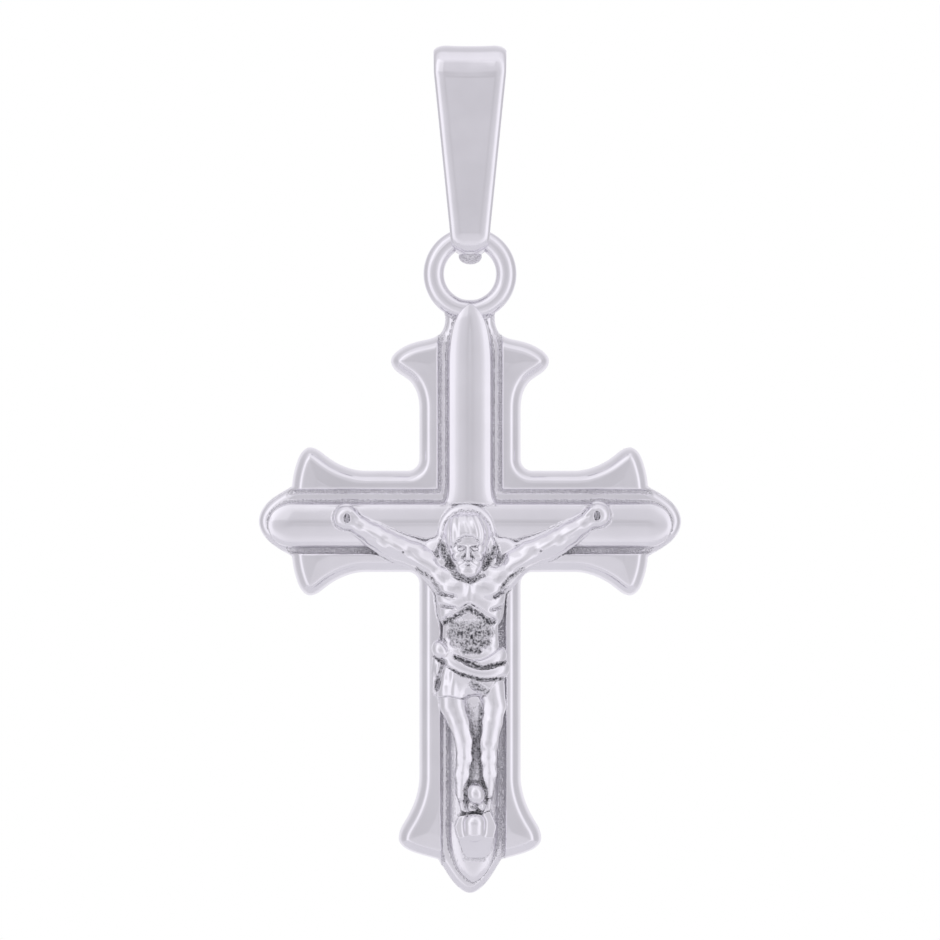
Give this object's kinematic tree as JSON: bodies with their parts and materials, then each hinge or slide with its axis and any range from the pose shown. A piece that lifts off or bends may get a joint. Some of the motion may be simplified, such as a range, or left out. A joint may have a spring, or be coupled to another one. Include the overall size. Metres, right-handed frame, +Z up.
{
  "type": "crucifix pendant",
  "caption": "Small polished silver cross pendant with cusped arms, raised bars and a cast figure, hanging by an eye ring from a tapered bail.",
  "frame": {"origin": "centre of the bail's top bend, where a chain runs through along X", "axes": "+Z up as the pendant hangs, -Y is the front with the figure, +X to the viewer's right"},
  "size_m": [0.017, 0.0031, 0.034],
  "materials": {
    "bail_silver": "polished",
    "ring_silver": "polished",
    "plate_silver": "polished",
    "relief_silver": "polished",
    "figure_silver": "polished",
    "peg_silver": "polished"
  },
  "bodies": {
    "bail": {"bail_strap": "bail_silver", "bail_solder_tip": "bail_silver"},
    "cross": {"eye_ring": "ring_silver", "back_plate": "plate_silver", "upper_left_border": "relief_silver", "upper_right_border": "relief_silver", "lower_left_border": "relief_silver", "lower_right_border": "relief_silver", "crossbar": "relief_silver", "upper_bar": "relief_silver", "lower_bar": "relief_silver", "corpus": "figure_silver", "foot_rest": "figure_silver", "left_hand_peg": "peg_silver", "right_hand_peg": "peg_silver", "foot_peg": "peg_silver"}
  },
  "joints": [
    {"name": "ring_swing", "type": "hinge", "parent": "bail", "child": "cross", "pos_m": [0, 0, -0.00651], "axis": [1, 0, 0], "range_deg": [-135, 135]}
  ]
}
